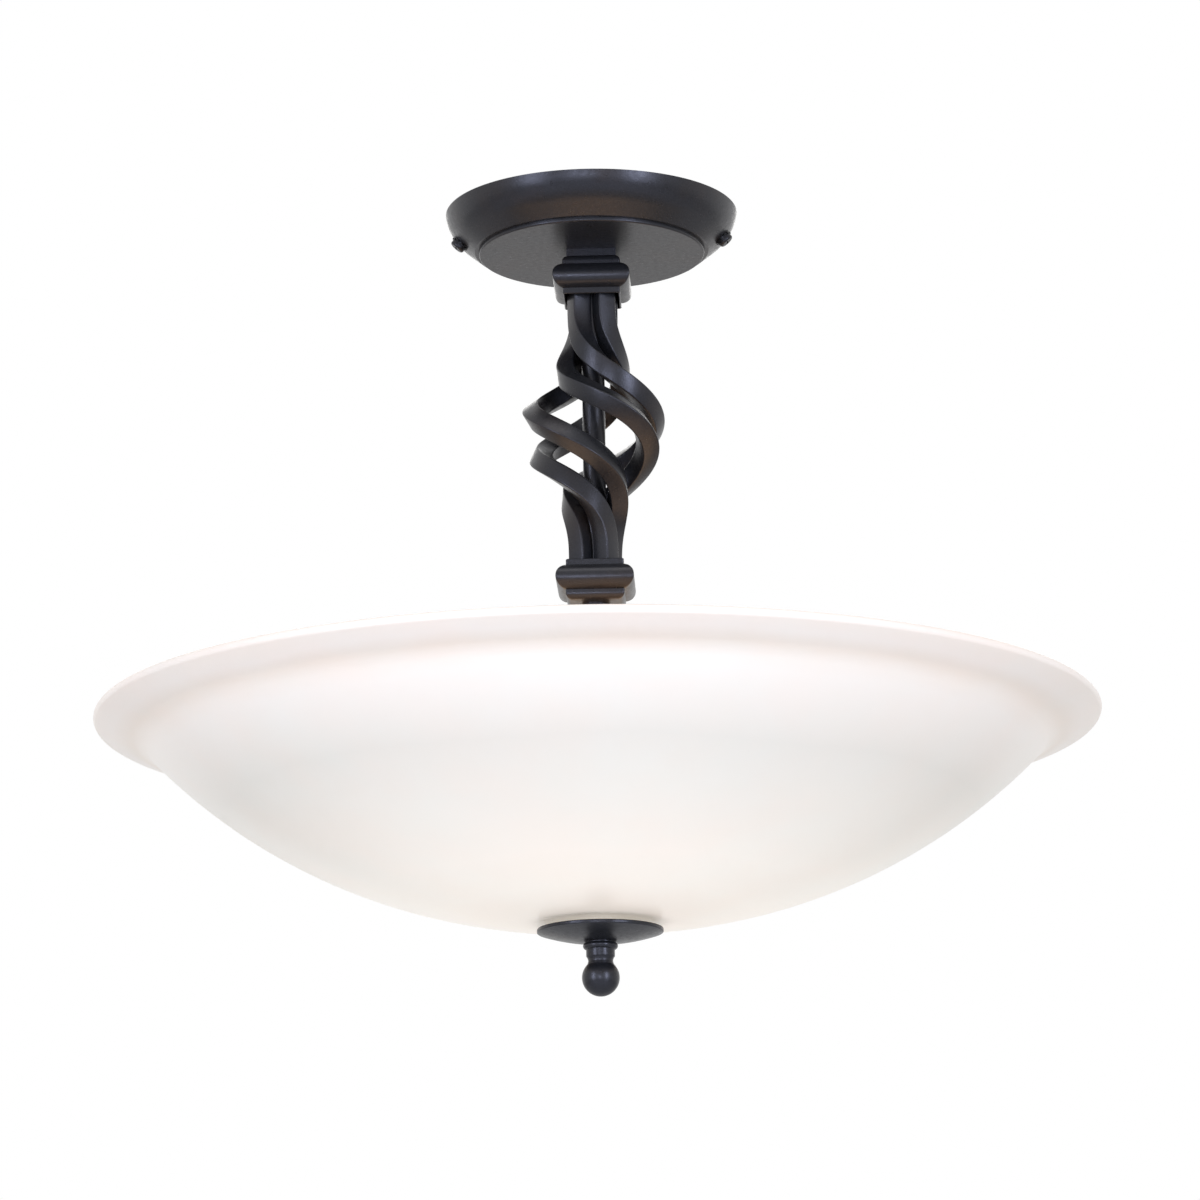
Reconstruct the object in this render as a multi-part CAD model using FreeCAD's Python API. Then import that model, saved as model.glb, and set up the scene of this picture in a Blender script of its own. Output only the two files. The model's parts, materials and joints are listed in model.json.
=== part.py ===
import FreeCAD
import Part
import math
import os
from FreeCAD import Placement, Rotation, Vector

# Semi flush ceiling light.  Millimetres.  The origin is on the ceiling plane, on the
# axis of the light.  +Z points up into the ceiling, so the light hangs below zero.

# ---------------------------------------------------------------- driving dimensions
# clearances
PLATE_GAP = 0.3             # between parts that come apart
THREAD_GAP = 0.05           # radial, between a thread's two plain stand-in cylinders
COPE_GAP = 0.1              # between the basket bars and the tube they hug
WASHER_GAP = 0.1            # between a screw's washer and the canopy
LEAD_GAP = 0.1              # round the leads where they enter the terminal block
NUT_CORNER_GAP = 0.15       # between a flat nut's corners and the hub's round wall

# canopy: a shallow spun cup, open towards the ceiling
CANOPY_BORDER = 16.8        # from the disc's edge out to the rim, seen from below
CANOPY_DROP = 21.5
CANOPY_WALL = 1.0
CANOPY_SIDE_RADIUS = 21.6   # round of the side, seen in section
CANOPY_SIDE_RISE = 2.9      # its centre lies this far above the ceiling plane
CANOPY_SLOPE_START = 14.0   # depth where the round side turns into the slope
DISC_RADIUS = 57.6          # raised flat disc in the middle of the canopy
DISC_STEP = 2.1             # how far the disc stands proud of the slope's foot
DISC_EDGE = 0.9             # rounding of the disc's edge

# screws that hold the canopy to the bracket, square to its side
SCREW_TILT = 49.0           # degrees below the horizontal
SCREW_R = 2.0
SCREW_SHANK = 5.2           # reach past the washer
SCREW_HEAD_R = 3.9
SCREW_HEAD_H = 2.6
SCREW_HEAD_ROUND = 1.2
SCREW_RECESS_R = 2.1
SCREW_RECESS_W = 0.9
SCREW_RECESS_D = 1.3
STAR_WASHER_R = 4.7
STAR_WASHER_T = 0.7
STAR_TEETH = 12
STAR_TOOTH_DEPTH = 0.9

# ceiling bracket: a strap against the ceiling with two turned-up ears
BRACKET_T = 2.0
BRACKET_WIDTH = 28.0
BRACKET_LEG_INSET = 14.6    # from the canopy's rim in to each leg
EAR_WIDTH = 12.0
EAR_GAP = 1.0               # between the ear and the canopy's inside
EAR_LENGTH = 9.6
SLOT_SPACING = 78.0
SLOT_LENGTH = 22.0
SLOT_R = 2.5
CABLE_HOLE_R = 10.0
TAB_WIDTH = 32.0            # side tab that carries the terminal block
TAB_REACH = 37.0

# terminal block and its screws
BLOCK_LENGTH = 26.0
BLOCK_DEPTH = 16.0
BLOCK_HEIGHT = 11.0
BLOCK_Y = 15.0              # near face of the block
BLOCK_POLES = 3
BLOCK_PITCH = 8.0
BLOCK_ENTRY_R = 1.6
BLOCK_ENTRY_DEPTH = 9.0
BLOCK_SCREW_R = 1.5
BLOCK_SCREW_H = 3.0
BLOCK_SCREW_SINK = 0.8
BLOCK_SLOT_W = 0.75
BLOCK_SLOT_D = 0.75
BLOCK_WELL = 6.0            # from the far face to the clamping screws
FIXING_R = 1.5
FIXING_HEAD_R = 2.8
FIXING_HEAD_H = 1.8
FIXING_Y = 5.0              # from the near face
LEAD_WINDOW_W = 6.4
LEAD_WINDOW_D = 1.5

# earth screw on the bracket
EARTH_X = -19.5
EARTH_R = 2.0
EARTH_HEAD_AF = 7.0
EARTH_HEAD_H = 3.0
EARTH_WASHER_R = 4.5
EARTH_WASHER_T = 0.8

# square moulded collars, one above and one below the basket
COLLAR_FLANGE = 14.5        # half widths, and heights counted from the bars' side
COLLAR_FLANGE_H = 3.0
COLLAR_BEAD = 19.6
COLLAR_BEAD_H = 12.8
COLLAR_STEP = 14.7
COLLAR_STEP_H = 1.2
COLLAR_NECK = 11.9
COLLAR_NECK_H = 3.5
SOCKET_HALF = 13.6
SOCKET_DEPTH = 15.5
SPACER_HALF = 12.5
SPACER_H = 3.8
BASKET_OPENING = 138.4      # clear height between the two collars

# twisted basket of square bars
BAR_COUNT = 4
BAR_SIZE = 9.2
BAR_END_RADIUS = 9.0        # axis of each bar at the collars
BAR_BELLY_RADIUS = 33.2     # axis of each bar at the widest place
BAR_BELLY_POWER = 2.18      # how quickly the bars swing out
BAR_BELLY_TUCK = 0.111      # draws the swing towards the middle
BAR_START_ANGLE = -138.4    # degrees, first bar at the upper collar
BAR_TURN = 356.2            # degrees, turned on the way down
BAR_TURN_EASE = 31.9        # degrees, slower turn near the collars
BAR_TURN_EASE_ENDS = 13.7
BAR_TURN_LAG = 1.3          # degrees, the belly trails behind an even turn
BAR_LEAN = 29.3             # degrees, how far the outer corner leans aside at the collars
BAR_STATIONS = 48
BAR_SEAT_GAP = 0.5          # between a bar's end and the socket's floor

# central tube with a threaded spigot at each end
TUBE_R = 5.75
TUBE_BORE = 3.5
SPIGOT_R = 5.0
SPIGOT_PROUD = 1.7          # above the lock nut
SPIGOT_LOWER = 11.5         # below the bottom collar
NUT_AF = 14.0
NUT_CHAMFER = 30.0          # degrees, on the corners of every nut
LOCK_NUT_H = 4.5
LOCK_WASHER_R = 9.5
LOCK_WASHER_T = 0.8
LOCK_TEETH = 16

# neck tube below the bottom collar, and the lamp hub that hangs on it
NECK_R = 7.0
NECK_TO_HUB = 57.5
NECK_FLANGE_R = 10.5
NECK_FLANGE_H = 3.0
NECK_THREAD = 13.5
NECK_FOOT = 31.0            # reach of the neck inside the hub
PORT_TOP = 4.0
PORT_HEIGHT = 16.0
PORT_WIDTH = 5.0
HUB_R = 30.0
HUB_WALL = 1.5
HUB_HEIGHT = 34.0
HUB_COVER_T = 2.0
HUB_COVER_RIM = 4.0
HUB_EDGE = 2.5

# lower rod with its nuts
ROD_R = 4.0
ROD_NUT_AF = 13.0
ROD_NUT_H = 6.5
ROD_GRIP = 9.5              # thread inside the neck
ROD_IN_FINIAL = 14.5

# lampholders, in three equal directions round the hub
LAMP_COUNT = 3
LAMP_FIRST_ANGLE = 90.0
LAMP_DROP = 18.0            # below the top of the hub
NIPPLE_R = 5.0
NIPPLE_BORE = 3.5
NIPPLE_IN = 4.5
NIPPLE_NUT_H = 2.5
HOLDER_LENGTH = 46.0
HOLDER_R = 17.9
HOLDER_BACK_R = 14.0
HOLDER_FLOOR = 24.0
HOLDER_THREAD_DEPTH = 8.0
HOLDER_CAVITY_R = 14.3
SHELL_GAP = 0.1
SHELL_WALL = 2.0
SHELL_LENGTH = 34.0
SHELL_LIP = 1.6
SHELL_EDGE = 1.0
CONTACT_WALL = 0.5
CONTACT_GAP = 0.1
CONTACT_SHORT = 1.5
TONGUE_R = 3.0
TONGUE_H = 0.9

# lamps
CAP_R = 13.3
CAP_WALL = 1.0
CAP_LENGTH = 24.5
CAP_TIP_R = 4.5
CAP_TIP_H = 1.2
CAP_SEAT_R = 9.0
CAP_SHOULDER = 2.4          # where the cap reaches its full width
CAP_FLOOR = 3.6             # thickness of the cap's closed end
BULB_R = 30.0
BULB_NECK_R = 14.5
BULB_LENGTH = 82.0
BULB_WALL = 1.2
BULB_WAIST_SHARE = 0.45     # of the way from the cap to the round end's centre
BULB_WAIST_SWELL = 0.28     # of the difference between the neck's and the end's radius
BULB_JOIN_ANGLE = 35.0      # where the neck runs into the round end
BULB_ROUND_ANGLE = 10.0
LED_POST_R = 7.0
LED_POST_L = 20.0
LED_BOARD_R = 12.0
LED_BOARD_T = 1.6

# leads from the terminal block to the lampholders
LEAD_R = 0.8
LEAD_RING = 1.7             # six leads lie in a ring in the tube
LEAD_BEND = 8.0
LEAD_LEVELS = (9.1, 7.4, 5.7)   # depth of the leads at the block, near to far
LEAD_TAIL = 12.0            # reach past the hub's wall

# glass bowl
BOWL_R = 250.0
BOWL_RIM_DROP = 266.9       # rim, below the ceiling plane
BOWL_FLOOR_R = 24.0         # flat seat in the middle
BOWL_DEPTH = 99.1
BOWL_BRIM = 28.0            # from the shoulder, where the body ends, out to the rim
BOWL_SHOULDER_DEPTH = 13.8  # below the rim
BOWL_SWELL = 20.8           # how far the body bows out between floor and shoulder
BOWL_THROAT_W = 11.0        # from the shoulder out to the lip, and up to it
BOWL_THROAT_H = 7.2
BOWL_THROAT_BOW = 0.86      # how far the throat bows in between shoulder and lip
BOWL_LIP_ROUND = 1.3        # the lip's flat stops this far inside the rim
BOWL_LIP_DEPTH = 0.5        # the lip's outer end, below the rim
BOWL_WALL = 4.5
BOWL_HOLE_R = 5.5

# what clamps the bowl
GASKET_R = 21.0
UPPER_GASKET_T = 2.0
CLAMP_WASHER_R = 22.0
CLAMP_WASHER_T = 1.5
LOWER_GASKET_R = 12.5
LOWER_GASKET_T = 3.0
PLATE_R = 31.3
PLATE_T = 1.9               # at the rim
PLATE_EDGE = 0.5
PLATE_CROWN = 4.7           # from the rim down to the finial's seat
PLATE_BOW = 0.67            # how far the dome bows out between rim and seat
PLATE_SEAT_R = 8.0

# finial, turned from one piece: radii, and depths below the plate
FINIAL_FOOT_R = 7.6
FINIAL_RING_R = 8.6
FINIAL_RING_TOP = 0.4
FINIAL_RING_MID = 2.3
FINIAL_RING_END = 3.7
FINIAL_NECK_R = 7.1
FINIAL_NECK_END = 7.1
FINIAL_WAIST_R = 6.15
FINIAL_WAIST = 9.6
FINIAL_WAIST_FLARE = 0.35   # from the waist out to the ball
FINIAL_WAIST_HOLLOW = 0.2
FINIAL_BALL_R = 9.3
FINIAL_BALL_DEPTH = 17.65
FINIAL_BORE_DEPTH = 16.5

# ---------------------------------------------------------------- worked out from these
CANOPY_RADIUS = DISC_RADIUS + CANOPY_BORDER
BRACKET_LEG_X = CANOPY_RADIUS - BRACKET_LEG_INSET   # inner face of each leg

# levels down the axis
DISC_Z = -CANOPY_DROP
SPACER_Z = DISC_Z - SPACER_H
COLLAR_H = COLLAR_FLANGE_H + COLLAR_BEAD_H + COLLAR_STEP_H + COLLAR_NECK_H
TOP_COLLAR_Z = SPACER_Z - COLLAR_H              # mouth of the upper collar
BOTTOM_COLLAR_Z = TOP_COLLAR_Z - BASKET_OPENING  # mouth of the lower collar
NECK_Z = BOTTOM_COLLAR_Z - COLLAR_H
HUB_Z = NECK_Z - NECK_TO_HUB
LAMP_Z = HUB_Z - LAMP_DROP
HUB_FOOT_Z = HUB_Z - HUB_HEIGHT
NECK_FOOT_Z = HUB_Z - NECK_FOOT
BOWL_Z = -BOWL_RIM_DROP
BOWL_FOOT_Z = BOWL_Z - BOWL_DEPTH
PLATE_Z = BOWL_FOOT_Z - LOWER_GASKET_T
FINIAL_Z = PLATE_Z - PLATE_T - PLATE_CROWN

AXIS = Vector(0, 0, 1)
SAME_POINT = 1e-6           # two ends of a wire closer than this are one point
TANGENT_STEP = 1e-4         # share of a bar over which its direction is taken


# ---------------------------------------------------------------- helpers
def cylinder(radius, top, bottom, x=0.0, y=0.0):
    """Upright cylinder between two levels."""
    return Part.makeCylinder(radius, top - bottom, Vector(x, y, bottom))


def ring(outer, inner, top, bottom):
    return cylinder(outer, top, bottom).cut(cylinder(inner, top, bottom))


def block(x0, x1, y0, y1, z0, z1):
    return Part.makeBox(x1 - x0, y1 - y0, z1 - z0, Vector(x0, y0, z0))


def outline(start, *steps):
    """Closed wire in the XZ plane.  A step is an end point, or a list of points that a
    smooth curve runs through: two points make an arc."""
    here = Vector(start[0], 0, start[1])
    first = here
    edges = []
    for step in steps:
        if isinstance(step, list):
            points = [here] + [Vector(p[0], 0, p[1]) for p in step]
            if len(points) == 3:
                edges.append(Part.Arc(*points).toShape())
            else:
                curve = Part.BSplineCurve()
                curve.interpolate(points)
                edges.append(curve.toShape())
            here = points[-1]
        else:
            there = Vector(step[0], 0, step[1])
            edges.append(Part.LineSegment(here, there).toShape())
            here = there
    if here.distanceToPoint(first) > SAME_POINT:
        edges.append(Part.LineSegment(here, first).toShape())
    return Part.Wire(edges)


def turned(start, *steps):
    """Solid of revolution about the vertical axis."""
    return Part.Face(outline(start, *steps)).revolve(Vector(0, 0, 0), AXIS, 360)


def hex_prism(across_flats, top, bottom):
    radius = across_flats / math.sqrt(3)
    corners = [Vector(radius * math.cos(math.radians(a)), radius * math.sin(math.radians(a)), bottom)
               for a in range(0, 361, 60)]
    return Part.Face(Part.makePolygon(corners)).extrude(Vector(0, 0, top - bottom))


def hex_nut(across_flats, bore, top, bottom):
    """Nut with chamfered corners."""
    half = across_flats / 2
    corner = across_flats / math.sqrt(3)
    chamfer = (corner - half) * math.tan(math.radians(NUT_CHAMFER))
    bounds = turned((0, top), (half, top), (corner, top - chamfer), (corner, bottom + chamfer),
                    (half, bottom), (0, bottom))
    return hex_prism(across_flats, top, bottom).common(bounds).cut(cylinder(bore, top, bottom))


def toothed_washer(outer, inner, tooth, count, top, bottom):
    """Flat washer with square notches round its edge."""
    washer = ring(outer, inner, top, bottom)
    notch_width = math.pi * outer / count
    notch = block(outer - tooth, outer + tooth, -notch_width / 2, notch_width / 2, bottom, top)
    notches = [notch.rotated(Vector(0, 0, 0), AXIS, 360.0 * i / count) for i in range(count)]
    return washer.cut(Part.makeCompound(notches))


def aimed(shape, place, direction):
    """Move a shape built on +Z so that it starts at a place and points in a direction."""
    moved = shape.copy()
    moved.Placement = Placement(place, Rotation(AXIS, direction))
    return moved


def tube_along(points, bend, radius):
    """Round lead through points, with an arc of one radius at each corner."""
    edges = []
    here = points[0]
    for before, corner, after in zip(points, points[1:], points[2:]):
        incoming = (corner - before).normalize()
        outgoing = (after - corner).normalize()
        half_turn = incoming.getAngle(outgoing) / 2
        reach = bend * math.tan(half_turn)
        arc_start = corner - incoming * reach
        arc_end = corner + outgoing * reach
        inward = (outgoing - incoming).normalize()
        arc_mid = corner + inward * (bend / math.cos(half_turn) - bend)
        edges.append(Part.LineSegment(here, arc_start).toShape())
        edges.append(Part.Arc(arc_start, arc_mid, arc_end).toShape())
        here = arc_end
    edges.append(Part.LineSegment(here, points[-1]).toShape())
    start_direction = (points[1] - points[0]).normalize()
    section = Part.Wire(Part.makeCircle(radius, points[0], start_direction))
    return Part.Wire(edges).makePipeShell([section], True, False)


def union(shapes):
    return shapes[0].multiFuse(shapes[1:]).removeSplitter()


# ---------------------------------------------------------------- canopy and bracket
def canopy_side(offset):
    """Section of the canopy's side, moved inwards by an offset: the round side's start,
    middle and end, and the slope's foot."""
    radius = CANOPY_SIDE_RADIUS - offset
    centre_z = CANOPY_SIDE_RISE
    centre_r = CANOPY_RADIUS - math.sqrt(CANOPY_SIDE_RADIUS ** 2 - centre_z ** 2)
    end_angle = math.asin((CANOPY_SLOPE_START + centre_z) / CANOPY_SIDE_RADIUS)
    start_angle = math.asin(centre_z / radius)

    def on_round(angle):
        return (centre_r + radius * math.cos(angle), centre_z - radius * math.sin(angle))

    foot = (DISC_RADIUS + DISC_STEP - offset * math.sin(end_angle / 2), DISC_Z + DISC_STEP + offset)
    return on_round(start_angle), on_round((start_angle + end_angle) / 2), on_round(end_angle), foot


def make_canopy():
    start, middle, end, foot = canopy_side(0.0)
    disc_corner = DISC_EDGE * (1 - math.sqrt(0.5))
    outer = turned((0, 0), start, [middle, end], foot, (DISC_RADIUS, DISC_Z + DISC_STEP),
                   (DISC_RADIUS, DISC_Z + DISC_EDGE),
                   [(DISC_RADIUS - disc_corner, DISC_Z + disc_corner), (DISC_RADIUS - DISC_EDGE, DISC_Z)],
                   (0, DISC_Z))
    start, middle, end, foot = canopy_side(CANOPY_WALL)
    disc_inner = DISC_RADIUS - CANOPY_WALL
    inner = turned((0, 0), start, [middle, end], foot, (disc_inner, foot[1]),
                   (disc_inner, DISC_Z + CANOPY_WALL), (0, DISC_Z + CANOPY_WALL))
    shell = outer.cut(inner).cut(cylinder(SPIGOT_R + THREAD_GAP, 0, DISC_Z))
    for side in (1, -1):
        hole = Part.makeCylinder(SCREW_R + PLATE_GAP, 4 * CANOPY_WALL)
        place = screw_seat(side) - screw_direction(side) * 2 * CANOPY_WALL
        shell = shell.cut(aimed(hole, place, screw_direction(side)))
    return shell


def screw_direction(side):
    tilt = math.radians(SCREW_TILT)
    return Vector(side * math.cos(tilt), 0, -math.sin(tilt))


def screw_seat(side):
    """Where a screw's axis meets the outside of the canopy, square to it."""
    centre_r = CANOPY_RADIUS - math.sqrt(CANOPY_SIDE_RADIUS ** 2 - CANOPY_SIDE_RISE ** 2)
    return Vector(side * centre_r, 0, CANOPY_SIDE_RISE) + screw_direction(side) * CANOPY_SIDE_RADIUS


def make_ear(side):
    """Turned-up ear, square to the screw, with its threaded hole."""
    ear = block(-EAR_LENGTH / 2, EAR_LENGTH / 2, -EAR_WIDTH / 2, EAR_WIDTH / 2, 0, BRACKET_T)
    ear = ear.cut(cylinder(SCREW_R + THREAD_GAP, BRACKET_T, 0))
    depth = CANOPY_WALL + EAR_GAP + BRACKET_T
    return aimed(ear, screw_seat(side) - screw_direction(side) * depth, screw_direction(side))


def make_ceiling_bracket():
    leg_out = BRACKET_LEG_X + BRACKET_T
    strap = block(-leg_out, leg_out, -BRACKET_WIDTH / 2, BRACKET_WIDTH / 2, -BRACKET_T, 0)
    tab = block(-TAB_WIDTH / 2, TAB_WIDTH / 2, 0, TAB_REACH, -BRACKET_T, 0)
    pieces = [strap, tab]
    for side in (1, -1):
        ear = make_ear(side)
        ear_foot = ear.BoundBox.ZMin
        inner_x = min(side * BRACKET_LEG_X, side * leg_out)
        leg = block(inner_x, inner_x + BRACKET_T, -EAR_WIDTH / 2, EAR_WIDTH / 2, ear_foot, 0)
        pieces += [leg, ear]
    bracket = union(pieces)
    for side in (1, -1):
        half = SLOT_LENGTH / 2 - SLOT_R
        centre = side * SLOT_SPACING / 2
        slot = block(centre - half, centre + half, -SLOT_R, SLOT_R, -BRACKET_T, 0)
        bracket = bracket.cut(slot)
        for end in (-half, half):
            bracket = bracket.cut(cylinder(SLOT_R, 0, -BRACKET_T, centre + end))
    bracket = bracket.cut(cylinder(CABLE_HOLE_R, 0, -BRACKET_T))
    bracket = bracket.cut(cylinder(FIXING_R + THREAD_GAP, 0, -BRACKET_T, 0, BLOCK_Y + FIXING_Y))
    return bracket.cut(cylinder(EARTH_R + THREAD_GAP, 0, -BRACKET_T, EARTH_X))


def make_canopy_screw(side):
    """Pan head screw with a crossed recess."""
    under_head = STAR_WASHER_T
    crown = under_head + SCREW_HEAD_H
    corner = SCREW_HEAD_ROUND * (1 - math.sqrt(0.5))
    screw = turned((0, -SCREW_SHANK), (SCREW_R, -SCREW_SHANK), (SCREW_R, under_head),
                   (SCREW_HEAD_R, under_head), (SCREW_HEAD_R, crown - SCREW_HEAD_ROUND),
                   [(SCREW_HEAD_R - corner, crown - corner), (SCREW_HEAD_R - SCREW_HEAD_ROUND, crown)],
                   (0, crown))
    bar = block(-SCREW_RECESS_R, SCREW_RECESS_R, -SCREW_RECESS_W / 2, SCREW_RECESS_W / 2,
                crown - SCREW_RECESS_D, crown)
    screw = screw.cut(bar).cut(bar.rotated(Vector(0, 0, 0), AXIS, 90))
    return aimed(screw, washer_seat(side), screw_direction(side))


def washer_seat(side):
    """The washer's flat back clears the round side of the canopy."""
    return screw_seat(side) + screw_direction(side) * WASHER_GAP


def make_screw_washer(side):
    washer = toothed_washer(STAR_WASHER_R, SCREW_R + THREAD_GAP, STAR_TOOTH_DEPTH, STAR_TEETH,
                            STAR_WASHER_T, 0)
    return aimed(washer, washer_seat(side), screw_direction(side))


def make_terminal_block():
    top = -BRACKET_T
    bottom = top - BLOCK_HEIGHT
    far = BLOCK_Y + BLOCK_DEPTH
    body = block(-BLOCK_LENGTH / 2, BLOCK_LENGTH / 2, BLOCK_Y, far, bottom, top)
    window_top = -min(LEAD_LEVELS) + LEAD_R + LEAD_GAP
    window_foot = -max(LEAD_LEVELS) - LEAD_R - LEAD_GAP
    body = body.cut(block(-LEAD_WINDOW_W / 2, LEAD_WINDOW_W / 2, BLOCK_Y, BLOCK_Y + LEAD_WINDOW_D,
                          window_foot, window_top))
    for x in pole_places():
        entry = Part.makeCylinder(BLOCK_ENTRY_R, BLOCK_ENTRY_DEPTH, Vector(x, far, (top + bottom) / 2),
                                  Vector(0, -1, 0))
        well = cylinder(BLOCK_SCREW_R + THREAD_GAP, bottom + BLOCK_SCREW_H + BLOCK_SCREW_SINK, bottom,
                        x, far - BLOCK_WELL)
        body = body.cut(entry).cut(well)
    return body.cut(cylinder(FIXING_R + THREAD_GAP, top, bottom, 0, BLOCK_Y + FIXING_Y))


def pole_places():
    return [(i - (BLOCK_POLES - 1) / 2) * BLOCK_PITCH for i in range(BLOCK_POLES)]


def make_terminal_screws():
    bottom = -BRACKET_T - BLOCK_HEIGHT + BLOCK_SCREW_SINK
    y = BLOCK_Y + BLOCK_DEPTH - BLOCK_WELL
    screws = []
    for x in pole_places():
        screw = cylinder(BLOCK_SCREW_R, bottom + BLOCK_SCREW_H, bottom, x, y)
        slot = block(x - BLOCK_SCREW_R, x + BLOCK_SCREW_R, y - BLOCK_SLOT_W / 2, y + BLOCK_SLOT_W / 2,
                     bottom, bottom + BLOCK_SLOT_D)
        screws.append(screw.cut(slot))
    return Part.makeCompound(screws)


def make_block_screw():
    """Holds the terminal block to the bracket's tab."""
    y = BLOCK_Y + FIXING_Y
    bottom = -BRACKET_T - BLOCK_HEIGHT
    return cylinder(FIXING_R, 0, bottom, 0, y).fuse(
        cylinder(FIXING_HEAD_R, bottom, bottom - FIXING_HEAD_H, 0, y)).removeSplitter()


def make_earth_screw():
    washer_foot = -BRACKET_T - EARTH_WASHER_T
    head = hex_prism(EARTH_HEAD_AF, washer_foot, washer_foot - EARTH_HEAD_H)
    washer = cylinder(EARTH_WASHER_R, -BRACKET_T, washer_foot)
    screw = union([head, washer, cylinder(EARTH_R, 0, -BRACKET_T)])
    return screw.translated(Vector(EARTH_X, 0, 0))


# ---------------------------------------------------------------- stem
def make_stem_lock_washer():
    top = DISC_Z + CANOPY_WALL + LOCK_WASHER_T
    return toothed_washer(LOCK_WASHER_R, SPIGOT_R + THREAD_GAP, STAR_TOOTH_DEPTH, LOCK_TEETH, top,
                          DISC_Z + CANOPY_WALL)


def make_stem_lock_nut():
    bottom = DISC_Z + CANOPY_WALL + LOCK_WASHER_T
    return hex_nut(NUT_AF, SPIGOT_R + THREAD_GAP, bottom + LOCK_NUT_H, bottom)


def make_collar_spacer():
    plate = block(-SPACER_HALF, SPACER_HALF, -SPACER_HALF, SPACER_HALF, SPACER_Z, DISC_Z)
    return plate.cut(cylinder(SPIGOT_R + THREAD_GAP, DISC_Z, SPACER_Z))


def make_collar(mouth_z, up):
    """Square moulded collar.  Its plan is square at every height, so its moulding meets
    in mitres at the corners.  up is 1 when the socket faces down, -1 when it faces up."""
    bead_top = COLLAR_FLANGE_H + COLLAR_BEAD_H
    step_top = bead_top + COLLAR_STEP_H
    bead_mid = COLLAR_FLANGE_H + COLLAR_BEAD_H / 2
    bow = math.sqrt(0.5)
    round_r = COLLAR_NECK + (COLLAR_STEP - COLLAR_NECK) * bow
    round_z = step_top + COLLAR_NECK_H * bow
    length = 4 * COLLAR_BEAD

    def moulding(sign):
        return outline((0, 0), (sign * COLLAR_FLANGE, 0), (sign * COLLAR_FLANGE, COLLAR_FLANGE_H),
                       [(sign * COLLAR_BEAD, bead_mid), (sign * COLLAR_FLANGE, bead_top)],
                       (sign * COLLAR_STEP, bead_top), (sign * COLLAR_STEP, step_top),
                       [(sign * round_r, round_z), (sign * COLLAR_NECK, COLLAR_H)], (0, COLLAR_H))

    halves = []
    for sign in (1, -1):
        half = Part.Face(moulding(sign)).extrude(Vector(0, length, 0))
        halves.append(half.translated(Vector(0, -length / 2, 0)))
    prism = union(halves)
    body = prism.common(prism.rotated(Vector(0, 0, 0), AXIS, 90)).removeSplitter()
    body = body.cut(block(-SOCKET_HALF, SOCKET_HALF, -SOCKET_HALF, SOCKET_HALF, 0, SOCKET_DEPTH))
    body = body.cut(cylinder(SPIGOT_R + THREAD_GAP, COLLAR_H, 0))
    if up < 0:
        body = body.rotated(Vector(0, 0, 0), Vector(1, 0, 0), 180)
    return body.translated(Vector(0, 0, mouth_z))


def bar_axis(share):
    """Point on the first bar's axis: share runs from 0 at the upper collar to 1 at the lower."""
    swing = math.sin(math.pi * (share - BAR_BELLY_TUCK * math.sin(2 * math.pi * share)))
    radius = BAR_END_RADIUS + (BAR_BELLY_RADIUS - BAR_END_RADIUS) * max(swing, 0.0) ** BAR_BELLY_POWER
    angle = (BAR_START_ANGLE + BAR_TURN * share - BAR_TURN_EASE * math.sin(2 * math.pi * share)
             - BAR_TURN_EASE_ENDS * math.sin(4 * math.pi * share)
             - BAR_TURN_LAG * math.sin(math.pi * share) ** 2)
    return Vector(radius * math.cos(math.radians(angle)), radius * math.sin(math.radians(angle)),
                  TOP_COLLAR_Z - BASKET_OPENING * share)


def bar_section(share, tangent, lift=0.0):
    """Square section, square to the axis.  Half way down, one corner points away from the
    stem.  Towards the collars it leans aside, one way above and the other way below."""
    centre = bar_axis(share) + AXIS * lift
    outward = Vector(centre.x, centre.y, 0)
    outward = (outward - tangent * outward.dot(tangent)).normalize()
    sideways = tangent.cross(outward)
    lean = math.radians(BAR_LEAN) * math.cos(math.pi * share)
    corner = (outward * math.cos(lean) - sideways * math.sin(lean)) * (BAR_SIZE / math.sqrt(2))
    beside = tangent.cross(corner)
    corners = [centre + corner, centre + beside, centre - corner, centre - beside]
    return Part.makePolygon(corners + corners[:1])


def make_twist_bar(number):
    down = Vector(0, 0, -1)
    seat = SOCKET_DEPTH - BAR_SEAT_GAP
    sections = [bar_section(0, down, seat), bar_section(0, down, seat / 2)]
    for i in range(BAR_STATIONS + 1):
        share = i / BAR_STATIONS
        before = bar_axis(max(share - TANGENT_STEP, 0))
        after = bar_axis(min(share + TANGENT_STEP, 1))
        sections.append(bar_section(share, (after - before).normalize()))
    sections += [bar_section(1, down, -seat / 2), bar_section(1, down, -seat)]
    bar = Part.makeLoft(sections, True, False)
    bar = bar.rotated(Vector(0, 0, 0), AXIS, 360.0 * number / BAR_COUNT)
    coped = bar.cut(cylinder(TUBE_R + COPE_GAP, TOP_COLLAR_Z + SOCKET_DEPTH, BOTTOM_COLLAR_Z - SOCKET_DEPTH))
    return max(coped.Solids, key=lambda solid: solid.Volume)


def make_stem_tube():
    top = TOP_COLLAR_Z + SOCKET_DEPTH
    bottom = BOTTOM_COLLAR_Z - SOCKET_DEPTH
    spigot_top = DISC_Z + CANOPY_WALL + LOCK_WASHER_T + LOCK_NUT_H + SPIGOT_PROUD
    spigot_foot = NECK_Z - SPIGOT_LOWER
    tube = union([cylinder(TUBE_R, top, bottom), cylinder(SPIGOT_R, spigot_top, top),
                  cylinder(SPIGOT_R, bottom, spigot_foot)])
    return tube.cut(cylinder(TUBE_BORE, spigot_top, spigot_foot))


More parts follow.
